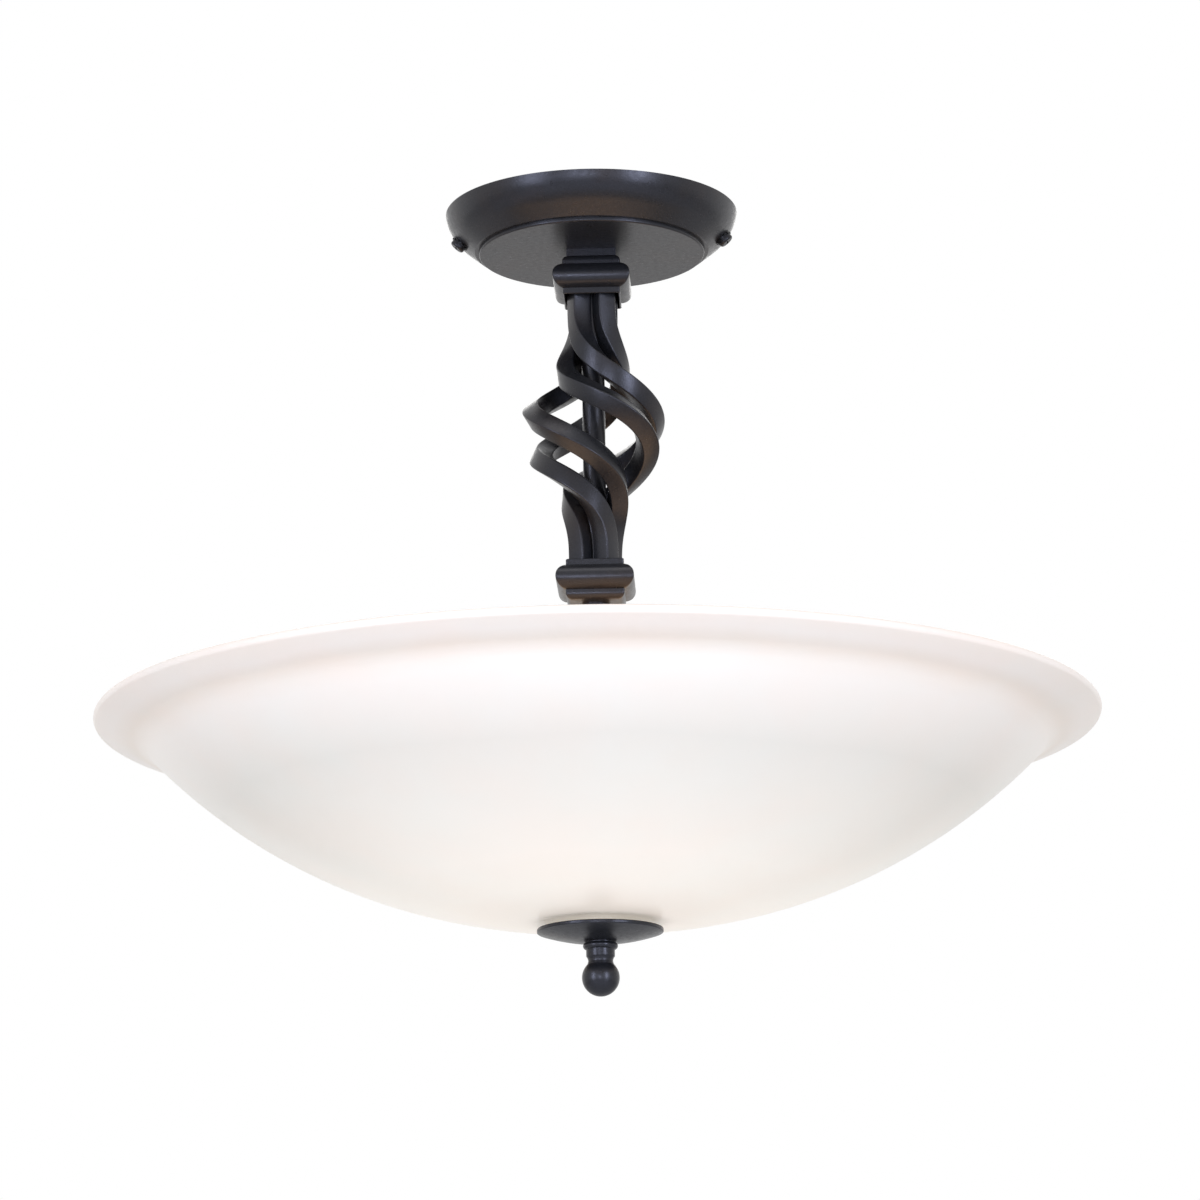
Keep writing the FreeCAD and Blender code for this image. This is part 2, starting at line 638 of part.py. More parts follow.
# ---------------------------------------------------------------- lamp hub
def make_neck():
    body = cylinder(NECK_R, NECK_Z, NECK_FOOT_Z)
    flange = cylinder(NECK_FLANGE_R, HUB_Z + NECK_FLANGE_H, HUB_Z)
    neck = union([body, flange])
    neck = neck.cut(cylinder(SPIGOT_R + THREAD_GAP, NECK_Z, NECK_Z - NECK_THREAD))
    neck = neck.cut(cylinder(TUBE_BORE, NECK_Z, NECK_FOOT_Z))
    neck = neck.cut(cylinder(ROD_R + THREAD_GAP, NECK_FOOT_Z + ROD_GRIP, NECK_FOOT_Z))
    port = block(0, 2 * NECK_R, -PORT_WIDTH / 2, PORT_WIDTH / 2, HUB_Z - PORT_TOP - PORT_HEIGHT,
                 HUB_Z - PORT_TOP)
    for angle in lamp_angles():
        neck = neck.cut(port.rotated(Vector(0, 0, 0), AXIS, angle))
    return neck


def lamp_angles():
    return [LAMP_FIRST_ANGLE + 360.0 * i / LAMP_COUNT for i in range(LAMP_COUNT)]


def make_hub_body():
    corner = HUB_EDGE * (1 - math.sqrt(0.5))
    outer = turned((0, HUB_Z), (HUB_R - HUB_EDGE, HUB_Z), [(HUB_R - corner, HUB_Z - corner),
                   (HUB_R, HUB_Z - HUB_EDGE)], (HUB_R, HUB_FOOT_Z), (0, HUB_FOOT_Z))
    hollow = cylinder(HUB_R - HUB_WALL, HUB_Z - HUB_WALL, HUB_FOOT_Z)
    body = outer.cut(hollow).cut(cylinder(NECK_R + THREAD_GAP, HUB_Z, HUB_FOOT_Z))
    for angle in lamp_angles():
        hole = Part.makeCylinder(NIPPLE_R + THREAD_GAP, 2 * HUB_R, Vector(0, 0, LAMP_Z), Vector(1, 0, 0))
        body = body.cut(hole.rotated(Vector(0, 0, 0), AXIS, angle))
    return body


def make_hub_cover():
    rim_r = HUB_R - HUB_WALL - PLATE_GAP
    plate = cylinder(HUB_R, HUB_FOOT_Z, HUB_FOOT_Z - HUB_COVER_T)
    rim = ring(rim_r, rim_r - HUB_WALL, HUB_FOOT_Z + HUB_COVER_RIM, HUB_FOOT_Z)
    cover = union([plate, rim])
    return cover.cut(cylinder(ROD_R + PLATE_GAP, HUB_FOOT_Z, HUB_FOOT_Z - HUB_COVER_T))


def make_hub_nut():
    top = HUB_FOOT_Z - HUB_COVER_T
    return hex_nut(ROD_NUT_AF, ROD_R + THREAD_GAP, top, top - ROD_NUT_H)


def make_lower_rod():
    return cylinder(ROD_R, NECK_FOOT_Z + ROD_GRIP, FINIAL_Z - ROD_IN_FINIAL)


# ---------------------------------------------------------------- lampholders and lamps
def holder_places():
    """Distances from the light's axis, along a lampholder."""
    back = HUB_R + NIPPLE_NUT_H
    return back, back + HOLDER_FLOOR, back + HOLDER_LENGTH


def radial(shape, number):
    """Lay a shape built on +Z along a lampholder's direction."""
    laid = shape.rotated(Vector(0, 0, 0), Vector(0, 1, 0), 90)
    laid = laid.rotated(Vector(0, 0, 0), AXIS, lamp_angles()[number])
    return laid.translated(Vector(0, 0, LAMP_Z))


def make_lamp_nipple(number):
    back = holder_places()[0]
    outer_end = back + HOLDER_THREAD_DEPTH
    inner_end = HUB_R - HUB_WALL - NIPPLE_IN
    return radial(ring(NIPPLE_R, NIPPLE_BORE, outer_end, inner_end), number)


def make_nipple_nuts():
    """One nut inside the hub's round wall and one outside it, on each nipple."""
    corner = NUT_AF / math.sqrt(3)
    inside = math.sqrt((HUB_R - HUB_WALL) ** 2 - corner ** 2) - NUT_CORNER_GAP
    nuts = []
    for number in range(LAMP_COUNT):
        for top in (inside, HUB_R + NIPPLE_NUT_H):
            nut = hex_nut(NUT_AF, NIPPLE_R + THREAD_GAP, top, top - NIPPLE_NUT_H)
            nuts.append(radial(nut, number))
    return Part.makeCompound(nuts)


def make_lampholder_base(number):
    back, floor, mouth = holder_places()
    body = turned((0, back), (HOLDER_BACK_R, back), (HOLDER_R, back + (HOLDER_R - HOLDER_BACK_R)),
                  (HOLDER_R, mouth), (0, mouth))
    body = body.cut(cylinder(HOLDER_CAVITY_R, mouth, floor))
    body = body.cut(cylinder(NIPPLE_R + THREAD_GAP, back + HOLDER_THREAD_DEPTH, back))
    body = body.cut(cylinder(NIPPLE_BORE, floor, back))
    return radial(body, number)


def make_lampholder_shell(number):
    mouth = holder_places()[2] + SHELL_LIP
    inner = HOLDER_R + SHELL_GAP
    outer = inner + SHELL_WALL
    shell = turned((inner, mouth - SHELL_LENGTH), (outer, mouth - SHELL_LENGTH),
                   (outer, mouth - SHELL_EDGE), (outer - SHELL_EDGE, mouth), (HOLDER_CAVITY_R, mouth),
                   (HOLDER_CAVITY_R, mouth - SHELL_LIP), (inner, mouth - SHELL_LIP))
    return radial(shell, number)


def make_lampholder_contact(number):
    """Screw shell and centre tongue, as one pressed piece with its insulating floor."""
    back, floor, mouth = holder_places()
    outer = HOLDER_CAVITY_R - CONTACT_GAP
    inner = outer - CONTACT_WALL
    cup = cylinder(outer, mouth - CONTACT_SHORT, floor).cut(
        cylinder(inner, mouth - CONTACT_SHORT, floor + CONTACT_WALL))
    tongue = cylinder(TONGUE_R, floor + CONTACT_WALL + TONGUE_H, floor)
    return radial(union([cup, tongue]), number)


def cap_start():
    return holder_places()[1] + CONTACT_WALL + TONGUE_H + PLATE_GAP


def make_lamp_cap(number):
    start = cap_start()
    inner = CAP_R - CAP_WALL
    cap = turned((0, start), (CAP_TIP_R, start), (CAP_SEAT_R, start + CAP_TIP_H),
                 (CAP_R, start + CAP_SHOULDER), (CAP_R, start + CAP_LENGTH), (inner, start + CAP_LENGTH),
                 (inner, start + CAP_FLOOR), (0, start + CAP_FLOOR))
    return radial(cap, number)


def make_lamp_bulb(number):
    """Hollow opal envelope: a neck that swells into a round end."""
    start = cap_start() + CAP_LENGTH
    tip = start + BULB_LENGTH

    def envelope(wall):
        centre = tip - BULB_R
        radius = BULB_R - wall
        waist = start + (centre - start) * BULB_WAIST_SHARE
        join = math.radians(BULB_JOIN_ANGLE)
        past = math.radians(BULB_ROUND_ANGLE)
        join_point = (radius * math.cos(join), centre - radius * math.sin(join))
        return turned((0, start), (BULB_NECK_R - wall, start),
                      [(BULB_NECK_R - wall + (radius - BULB_NECK_R) * BULB_WAIST_SWELL, waist), join_point],
                      [(radius * math.cos(past), centre + radius * math.sin(past)), (0, centre + radius)])

    return radial(envelope(0).cut(envelope(BULB_WALL)), number)


def make_lamp_led(number):
    """Round board on a post, inside the envelope."""
    foot = cap_start() + CAP_FLOOR
    top = cap_start() + CAP_LENGTH + LED_POST_L
    post = cylinder(LED_POST_R, top, foot)
    board = cylinder(LED_BOARD_R, top + LED_BOARD_T, top)
    return radial(union([post, board]), number)


def make_lamp_leads(number):
    """Two leads: terminal block, tube, neck port, nipple, lampholder."""
    angle = lamp_angles()[number]
    outward = Vector(math.cos(math.radians(angle)), math.sin(math.radians(angle)), 0)
    sideways = AXIS.cross(outward)
    half_pitch = math.pi / (2 * LAMP_COUNT)
    leads = []
    for side in (1, -1):
        aside = sideways * side * LEAD_RING * math.sin(half_pitch)
        place = outward * LEAD_RING * math.cos(half_pitch) + aside
        row = 0 if place.y > LEAD_R else 1 if place.y > -LEAD_R else 2
        level = Vector(0, 0, -LEAD_LEVELS[row])
        lamp_level = Vector(0, 0, LAMP_Z)
        points = [Vector(place.x, BLOCK_Y + LEAD_WINDOW_D, 0) + level, place + level,
                  place + lamp_level, outward * (HUB_R + LEAD_TAIL) + aside + lamp_level]
        leads.append(tube_along(points, LEAD_BEND, LEAD_R))
    return Part.makeCompound(leads)


# ---------------------------------------------------------------- bowl and finial
def bowed(start, end, bow):
    """Middle of the arc between two points, bowed to the right of the way by an amount."""
    run, rise = end[0] - start[0], end[1] - start[1]
    share = bow / math.hypot(run, rise)
    return (start[0] + end[0]) / 2 + rise * share, (start[1] + end[1]) / 2 - run * share


def inner_arc(start, middle, end):
    """Middle and end of an arc of the bowl's outside, moved to its inside by the wall."""
    points = [Vector(r, 0, z) for r, z in (start, middle, end)]
    centre = Part.Arc(*points).toShape().Curve.Center
    inwards = 1 if centre.z > points[1].z else -1
    moved = [p + (centre - p).normalize() * BOWL_WALL * inwards for p in points]
    return (moved[1].x, moved[1].z), (moved[2].x, moved[2].z)


def make_glass_bowl():
    """The body and the throat are arcs.  The lip runs straight out from the throat."""
    floor = (BOWL_FLOOR_R, BOWL_FOOT_Z)
    shoulder = (BOWL_R - BOWL_BRIM, BOWL_Z - BOWL_SHOULDER_DEPTH)
    middle = bowed(floor, shoulder, BOWL_SWELL)
    lip_start = (shoulder[0] + BOWL_THROAT_W, shoulder[1] + BOWL_THROAT_H)
    throat = bowed(shoulder, lip_start, -BOWL_THROAT_BOW)
    lip_end = (BOWL_R - BOWL_LIP_ROUND, BOWL_Z - BOWL_LIP_DEPTH)
    floor_in = (BOWL_FLOOR_R, BOWL_FOOT_Z + BOWL_WALL)
    middle_in, shoulder_in = inner_arc(floor, middle, shoulder)
    throat_in, lip_start_in = inner_arc(shoulder, throat, lip_start)
    lip_slope = math.atan2(lip_end[1] - lip_start[1], lip_end[0] - lip_start[0])
    lip_end_in = (lip_end[0] - BOWL_WALL * math.sin(lip_slope), lip_end[1] + BOWL_WALL * math.cos(lip_slope))
    rim = (BOWL_R, (lip_end[1] + lip_end_in[1]) / 2)
    return turned((BOWL_HOLE_R, BOWL_FOOT_Z), floor, [middle, shoulder], [throat, lip_start], lip_end,
                  [rim, lip_end_in], lip_start_in, [throat_in, shoulder_in], [middle_in, floor_in],
                  (BOWL_HOLE_R, floor_in[1]))


def make_upper_gasket():
    floor = BOWL_FOOT_Z + BOWL_WALL
    return ring(GASKET_R, ROD_R + PLATE_GAP, floor + UPPER_GASKET_T, floor)


def make_clamp_washer():
    floor = BOWL_FOOT_Z + BOWL_WALL + UPPER_GASKET_T
    return ring(CLAMP_WASHER_R, ROD_R + PLATE_GAP, floor + CLAMP_WASHER_T, floor)


def make_clamp_nut():
    floor = BOWL_FOOT_Z + BOWL_WALL + UPPER_GASKET_T + CLAMP_WASHER_T
    return hex_nut(ROD_NUT_AF, ROD_R + THREAD_GAP, floor + ROD_NUT_H, floor)


def make_lower_gasket():
    return ring(LOWER_GASKET_R, ROD_R + PLATE_GAP, BOWL_FOOT_Z, PLATE_Z)


def make_finial_plate():
    """Disc with a low dome under it, down to the finial's seat."""
    corner = PLATE_EDGE * (1 - math.sqrt(0.5))
    top = PLATE_Z
    foot = PLATE_Z - PLATE_T
    hole_r = ROD_R + PLATE_GAP
    dome_start = (PLATE_R - PLATE_EDGE, foot)
    seat = (PLATE_SEAT_R, FINIAL_Z)
    return turned((hole_r, top), (PLATE_R - PLATE_EDGE, top),
                  [(PLATE_R - corner, top - corner), (PLATE_R, top - PLATE_EDGE)],
                  (PLATE_R, foot + PLATE_EDGE), [(PLATE_R - corner, foot + corner), dome_start],
                  [bowed(dome_start, seat, -PLATE_BOW), seat], (hole_r, FINIAL_Z))


def make_finial():
    z = FINIAL_Z
    ball_z = z - FINIAL_BALL_DEPTH
    waist_z = z - FINIAL_WAIST
    meet_r = FINIAL_WAIST_R + FINIAL_WAIST_FLARE
    meet_z = ball_z + math.sqrt(FINIAL_BALL_R ** 2 - meet_r ** 2)
    body = turned((0, z), (FINIAL_FOOT_R, z), (FINIAL_FOOT_R, z - FINIAL_RING_TOP),
                  [(FINIAL_RING_R, z - FINIAL_RING_MID), (FINIAL_NECK_R, z - FINIAL_RING_END)],
                  (FINIAL_NECK_R, z - FINIAL_NECK_END),
                  [(FINIAL_WAIST_R + FINIAL_WAIST_HOLLOW, (z - FINIAL_NECK_END + waist_z) / 2),
                   (FINIAL_WAIST_R, waist_z)],
                  (meet_r, meet_z), [(FINIAL_BALL_R, ball_z), (0, ball_z - FINIAL_BALL_R)])
    return body.cut(cylinder(ROD_R + THREAD_GAP, z, z - FINIAL_BORE_DEPTH))


# ---------------------------------------------------------------- every node
def build():
    nodes = {
        "ceiling_bracket": make_ceiling_bracket(),
        "canopy": make_canopy(),
        "terminal_block": make_terminal_block(),
        "terminal_screws": make_terminal_screws(),
        "block_screw": make_block_screw(),
        "earth_screw": make_earth_screw(),
        "stem_lock_washer": make_stem_lock_washer(),
        "stem_lock_nut": make_stem_lock_nut(),
        "collar_spacer": make_collar_spacer(),
        "top_collar": make_collar(TOP_COLLAR_Z, 1),
        "bottom_collar": make_collar(BOTTOM_COLLAR_Z, -1),
        "stem_tube": make_stem_tube(),
        "neck": make_neck(),
        "hub_body": make_hub_body(),
        "hub_cover": make_hub_cover(),
        "hub_nut": make_hub_nut(),
        "lower_rod": make_lower_rod(),
        "nipple_nuts": make_nipple_nuts(),
        "clamp_nut": make_clamp_nut(),
        "clamp_washer": make_clamp_washer(),
        "upper_gasket": make_upper_gasket(),
        "glass_bowl": make_glass_bowl(),
        "lower_gasket": make_lower_gasket(),
        "finial_plate": make_finial_plate(),
        "finial": make_finial(),
    }
    for side, word in ((1, "right"), (-1, "left")):
        nodes["canopy_screw_" + word] = make_canopy_screw(side)
        nodes["screw_washer_" + word] = make_screw_washer(side)
    for number in range(BAR_COUNT):
        nodes["twist_bar_%d" % (number + 1)] = make_twist_bar(number)
    for number in range(LAMP_COUNT):
        label = "_%d" % (number + 1)
        nodes["lamp_nipple" + label] = make_lamp_nipple(number)
        nodes["lampholder_base" + label] = make_lampholder_base(number)
        nodes["lampholder_shell" + label] = make_lampholder_shell(number)
        nodes["lampholder_contact" + label] = make_lampholder_contact(number)
        nodes["lamp_cap" + label] = make_lamp_cap(number)
        nodes["lamp_bulb" + label] = make_lamp_bulb(number)
        nodes["lamp_led" + label] = make_lamp_led(number)
        nodes["lamp_leads" + label] = make_lamp_leads(number)
    return nodes


os.makedirs("parts", exist_ok=True)
for node, shape in build().items():
    print("%-24s solids %d valid %s volume %.0f" % (node, len(shape.Solids), shape.isValid(), shape.Volume))
    shape.exportStep("parts/%s.step" % node)
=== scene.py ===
import bpy
import json
import math
from mathutils import Matrix, Vector


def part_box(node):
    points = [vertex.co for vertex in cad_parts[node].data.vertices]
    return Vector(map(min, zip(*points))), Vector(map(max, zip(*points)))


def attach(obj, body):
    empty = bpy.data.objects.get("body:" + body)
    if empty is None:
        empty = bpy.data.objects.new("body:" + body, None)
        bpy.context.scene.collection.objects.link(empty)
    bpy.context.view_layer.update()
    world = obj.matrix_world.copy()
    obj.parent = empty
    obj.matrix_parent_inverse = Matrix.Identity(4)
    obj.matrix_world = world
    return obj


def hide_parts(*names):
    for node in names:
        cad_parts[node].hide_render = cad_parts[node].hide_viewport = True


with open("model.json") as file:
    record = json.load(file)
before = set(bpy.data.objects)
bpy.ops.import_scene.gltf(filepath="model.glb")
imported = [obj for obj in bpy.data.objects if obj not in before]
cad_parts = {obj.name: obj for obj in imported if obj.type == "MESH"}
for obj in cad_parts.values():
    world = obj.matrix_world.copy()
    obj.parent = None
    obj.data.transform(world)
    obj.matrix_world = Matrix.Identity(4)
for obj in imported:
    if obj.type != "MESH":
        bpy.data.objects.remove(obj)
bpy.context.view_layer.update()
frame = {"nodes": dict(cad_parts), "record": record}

# Semi flush ceiling light.  Metres.  The origin is on the ceiling plane, on the light's axis,
# and +Z points up into the ceiling.  The camera stands on the -Y side.

MM = 0.001

# ---------------------------------------------------------------- camera
CAMERA_DISTANCE = 2.231         # from the light's axis
CAMERA_HEIGHT = -0.733          # below the ceiling
CAMERA_AZIMUTH = 1.8            # degrees towards +X
CAMERA_PITCH = 13.381           # degrees upwards
CAMERA_YAW = 0.05               # degrees to the right
CAMERA_ROLL = -0.733            # degrees: the light hangs a little askew in the picture
CAMERA_LENS = 137.16            # millimetres, on a sensor of SENSOR_WIDTH
SENSOR_WIDTH = 36.0

# ---------------------------------------------------------------- light
FLOOR_Z = -1.5
FLOOR_SIZE = 9.0                # the canopy's disc mirrors the white world beyond its edge
WORLD_DIFFUSE = 0.50            # what the surroundings add to matt surfaces

AIM = Vector((0.0, 0.0, -0.2))  # where every softbox points
COOL_LIGHT = (0.71, 0.78, 1.0)
WARM_LIGHT = (1.0, 0.98, 0.95)
SOFTBOXES = [                   # name, azimuth, elevation, distance, width, height, watts, colour
    ("softbox_left", -44.0, 0.0, 2.6, 0.6, 1.4, 32.0, COOL_LIGHT),
    ("softbox_right", 38.0, 0.0, 2.6, 0.6, 1.4, 39.0, COOL_LIGHT),
    ("softbox_front", -6.0, -5.0, 3.0, 1.1, 0.6, 23.0, COOL_LIGHT),
    ("softbox_top", 0.0, 62.0, 2.4, 1.6, 1.0, 10.0, WARM_LIGHT),
    ("softbox_back", 180.0, 25.0, 3.0, 2.0, 1.2, 14.0, WARM_LIGHT),
]
BOWL_GLOW_Z = -0.262            # the lit bowl's opening, as a warm lamp that faces up
BOWL_GLOW_SIZE = 0.30
BOWL_GLOW_POWER = 0.33
BOWL_GLOW_COLOUR = (1.0, 0.60, 0.32)

# ---------------------------------------------------------------- shapes, as in the frame
BAR_COUNT = 4
BAR_SIZE = 9.2 * MM
BAR_EDGE = 0.75 * MM            # rounding along the bars' corners
BAR_END_RADIUS = 9.0 * MM       # axis of each bar at the collars
BAR_BELLY_RADIUS = 33.2 * MM    # axis of each bar at the widest place
BAR_BELLY_POWER = 2.18          # how quickly the bars swing out
BAR_BELLY_TUCK = 0.111          # draws the swing towards the middle
BAR_START_ANGLE = -138.4        # degrees, first bar at the upper collar
BAR_TURN = 356.2                # degrees, turned on the way down
BAR_TURN_EASE = 31.9            # degrees, slower turn near the collars
BAR_TURN_EASE_ENDS = 13.7
BAR_TURN_LAG = 1.3              # degrees, the belly trails behind an even turn
BAR_LEAN = 29.3                 # degrees, how far the outer corner leans aside at the collars
TUBE_CLEAR_R = 5.85 * MM        # the bars are hollowed to this where they hug the tube

COLLAR_FLANGE = 14.5 * MM       # half widths, and heights counted from the bars' side
COLLAR_FLANGE_H = 3.0 * MM
COLLAR_BEAD = 19.6 * MM
COLLAR_BEAD_H = 12.8 * MM
COLLAR_STEP = 14.7 * MM
COLLAR_STEP_H = 1.2 * MM
COLLAR_NECK = 11.9 * MM
COLLAR_NECK_H = 3.5 * MM
COLLAR_BORE_R = 5.05 * MM
COLLAR_BEVEL = 0.35 * MM        # on both edges of the mouth
COLLAR_CORNER = 0.9 * MM        # rounding of the four corners
SOCKET_HALF = 13.6 * MM         # the square hollow that takes the bars' ends
SOCKET_DEPTH = 15.5 * MM
SOCKET_CORNER = 0.6 * MM

BOWL_HOLE_R = 5.5 * MM
BOWL_FLOOR_R = 24.0 * MM        # flat seat in the middle
BOWL_DEPTH = 99.1 * MM
BOWL_BRIM = 28.0 * MM           # from the shoulder, where the body ends, out to the rim
BOWL_SHOULDER_DEPTH = 13.8 * MM  # below the rim
BOWL_SWELL = 20.8 * MM          # how far the body bows out between floor and shoulder
BOWL_THROAT_W = 11.0 * MM       # from the shoulder out to the lip, and up to it
BOWL_THROAT_H = 7.2 * MM
BOWL_THROAT_BOW = 0.86 * MM     # how far the throat bows in between shoulder and lip
BOWL_LIP_ROUND = 1.3 * MM       # the lip's flat stops this far inside the rim
BOWL_LIP_DEPTH = 0.5 * MM       # the lip's outer end, below the rim
BOWL_WALL = 4.5 * MM

# ---------------------------------------------------------------- fineness of the meshes
BAR_STATIONS = 150              # along a bar
BAR_CORNER_STEPS = 4            # round each of its corners
BAR_TANGENT_STEP = 1e-4         # share of a bar, either way, that its direction is taken over
COLLAR_CORNER_STEPS = 5
COLLAR_BEAD_STEPS = 20
COLLAR_NECK_STEPS = 8
BOWL_AROUND = 240               # points round the bowl
BOWL_BODY_STEPS = 56            # along the arcs of its section
BOWL_INSIDE_STEPS = 40
BOWL_THROAT_STEPS = 10
BOWL_RIM_STEPS = 12
BAR_SMOOTH_ANGLE = 60.0         # degrees: edges sharper than this stay crisp
COLLAR_SMOOTH_ANGLE = 32.0
BOWL_SMOOTH_ANGLE = 40.0

# ---------------------------------------------------------------- looks
NOISE_SPAN = (0.3, 0.7)         # where nearly all values of a noise lie

# Opal glass from the axis (0) out to the rim (1): its warm white colour with painted shade,
# a little browner round the finial plate, darkest three quarters of the way out and browner at
# the lip, and painted light, the bulbs' light through the glass given as emission.
# The painted light is strongest over the finial plate, where it lightens the plate's shadow, and
# dies out towards the lip.
GLASS_TONE_AND_SHADE = [
    (0.0, (0.88, 0.75, 0.63)), (0.30, (0.91, 0.82, 0.71)), (0.75, (0.68, 0.63, 0.548)),
    (0.87, (0.80, 0.728, 0.64)), (0.915, (0.82, 0.71, 0.60)), (0.955, (0.85, 0.76, 0.67)),
    (1.0, (0.85, 0.75, 0.65))]
GLASS_PAINTED_LIGHT = [
    (0.0, (0.90, 0.82, 0.69)), (0.10, (0.72, 0.65, 0.55)), (0.13, (0.28, 0.26, 0.225)),
    (0.45, (0.27, 0.255, 0.228)), (0.85, (0.06, 0.057, 0.053)), (0.93, (0.0, 0.0, 0.0))]
GLASS_PAINTED_LIGHT_STRENGTH = 0.55
GLASS_MOTTLE = [(0.35, (1.0, 0.985, 0.96)), (0.65, (0.985, 1.0, 0.985))]
GLASS_DRIFT = 0.012             # how far the rings of colour stray, as a share of the radius


# ---------------------------------------------------------------- node helpers
def material(name):
    """New material: its node tree and its Principled shader."""
    made = bpy.data.materials.new(name)
    made.use_nodes = True
    shader = made.node_tree.nodes["Principled BSDF"]
    return made, made.node_tree, shader


def add(tree, kind, **settings):
    """New node with its settings."""
    node = tree.nodes.new(kind)
    for key, value in settings.items():
        setattr(node, key, value)
    return node


def noise(tree, scale, detail=2.0, stretch=(1.0, 1.0, 1.0)):
    """Noise in the piece's own space, at a scale per metre."""
    place = add(tree, "ShaderNodeTexCoord")
    mapping = add(tree, "ShaderNodeMapping")
    mapping.inputs["Scale"].default_value = stretch
    made = add(tree, "ShaderNodeTexNoise")
    made.inputs["Scale"].default_value = scale
    made.inputs["Detail"].default_value = detail
    tree.links.new(place.outputs["Object"], mapping.inputs["Vector"])
    tree.links.new(mapping.outputs["Vector"], made.inputs["Vector"])
    return made.outputs["Fac"]


def ramp(tree, value, stops):
    """Colour ramp through (position, (r, g, b)) stops."""
    made = add(tree, "ShaderNodeValToRGB")
    elements = made.color_ramp.elements
    while len(elements) < len(stops):
        elements.new(0.5)
    for element, (position, colour) in zip(elements, stops):
        element.position = position
        element.color = (*colour, 1.0)
    tree.links.new(value, made.inputs["Fac"])
    return made.outputs["Color"]


def rescale(tree, value, span, result):
    """Map a (low, high) span of a value to a (low, high) result, and stop at its ends."""
    made = add(tree, "ShaderNodeMapRange")
    for name, number in zip(("From Min", "From Max", "To Min", "To Max"), (*span, *result)):
        made.inputs[name].default_value = number
    tree.links.new(value, made.inputs["Value"])
    return made.outputs["Result"]


def maths(tree, operation, first, second=0.0):
    """Math node on one or two values, each a socket or a number."""
    made = add(tree, "ShaderNodeMath", operation=operation)
    for socket, value in zip(made.inputs, (first, second)):
        if isinstance(value, (int, float)):
            socket.default_value = value
        else:
            tree.links.new(value, socket)
    return made.outputs["Value"]


def mix(tree, factor, first, second, blend="MIX"):
    """Mix two colours, each a socket or an (r, g, b)."""
    made = add(tree, "ShaderNodeMix", data_type="RGBA", blend_type=blend)
    sockets = (made.inputs[0], made.inputs[6], made.inputs[7])
    for socket, value in zip(sockets, (factor, first, second)):
        if isinstance(value, (int, float)):
            socket.default_value = value
        elif isinstance(value, tuple):
            socket.default_value = (*value, 1.0)
        else:
            tree.links.new(value, socket)
    return made.outputs[2]


def bump(tree, shader, height, strength, distance):
    """Fine relief on a shader's surface."""
    made = add(tree, "ShaderNodeBump")
    made.inputs["Strength"].default_value = strength
    made.inputs["Distance"].default_value = distance
    tree.links.new(height, made.inputs["Height"])
    tree.links.new(made.outputs["Normal"], shader.inputs["Normal"])


# ---------------------------------------------------------------- materials
def powder_coat(name, dark=(0.0085, 0.0088, 0.0100), warm_reflection=(0.0170, 0.0115, 0.0085)):
    """Dark graphite coat with a fine orange peel, and browner patches scattered at random that
    are painted warm reflection of the lit bowl.
    """
    made, tree, shader = material(name)
    # browner patches: painted warm reflection of the lit bowl, scattered by noise
    reflection_patches = noise(tree, 26.0, detail=3.0)
    reflection_share = rescale(tree, reflection_patches, (0.45, 0.75), (0.0, 0.8))
    grain = noise(tree, 1500.0)
    speck = rescale(tree, grain, (0.35, 0.75), (0.75, 1.45))
    colour = mix(tree, reflection_share, dark, warm_reflection)
    colour = mix(tree, 1.0, colour, speck, "MULTIPLY")
    tree.links.new(colour, shader.inputs["Base Color"])
    rough = rescale(tree, noise(tree, 420.0, detail=3.0), NOISE_SPAN, (0.27, 0.37))
    tree.links.new(rough, shader.inputs["Roughness"])
    shader.inputs["Specular IOR Level"].default_value = 0.36
    shader.inputs["Specular Tint"].default_value = (0.92, 0.91, 1.0, 1.0)
    bump(tree, shader, grain, strength=0.22, distance=0.2 * MM)
    return made


def opal_glass(name, rim_radius):
    """Opal glass: warm white with painted shade, browner at the lip, and painted light from the
    bulbs inside, given as emission.
    """
    made, tree, shader = material(name)
    place = add(tree, "ShaderNodeTexCoord")
    split = add(tree, "ShaderNodeSeparateXYZ")
    tree.links.new(place.outputs["Object"], split.inputs["Vector"])
    x2 = maths(tree, "MULTIPLY", split.outputs["X"], split.outputs["X"])
    y2 = maths(tree, "MULTIPLY", split.outputs["Y"], split.outputs["Y"])
    radius = maths(tree, "SQRT", maths(tree, "ADD", x2, y2))
    share = maths(tree, "DIVIDE", radius, rim_radius)
    cloud = noise(tree, 9.0, detail=3.0)
    drift = rescale(tree, cloud, NOISE_SPAN, (-GLASS_DRIFT, GLASS_DRIFT))
    share = maths(tree, "ADD", share, drift)
    mottle = ramp(tree, noise(tree, 22.0, detail=4.0), GLASS_MOTTLE)
    # base colour: the glass's own tone with painted shade, by distance from the axis
    colour = mix(tree, 1.0, ramp(tree, share, GLASS_TONE_AND_SHADE), mottle, "MULTIPLY")
    tree.links.new(colour, shader.inputs["Base Color"])
    # emission: painted light of the bulbs through the glass, strongest over the finial plate to
    # lighten its shadow
    tree.links.new(ramp(tree, share, GLASS_PAINTED_LIGHT), shader.inputs["Emission Color"])
    shader.inputs["Emission Strength"].default_value = GLASS_PAINTED_LIGHT_STRENGTH
    shader.inputs["Roughness"].default_value = 0.3
    shader.inputs["Specular IOR Level"].default_value = 0.4
    return made


def lit_bulb(name):
    """Opal lamp bulb with a faint warm glow."""
    made, tree, shader = material(name)
    colour = ramp(tree, noise(tree, 40.0), [(0.3, (0.74, 0.72, 0.68)), (0.7, (0.78, 0.76, 0.72))])
    tree.links.new(colour, shader.inputs["Base Color"])
    shader.inputs["Emission Color"].default_value = (1.0, 0.80, 0.55, 1.0)
    shader.inputs["Emission Strength"].default_value = 0.2
    shader.inputs["Roughness"].default_value = 0.45
    return made


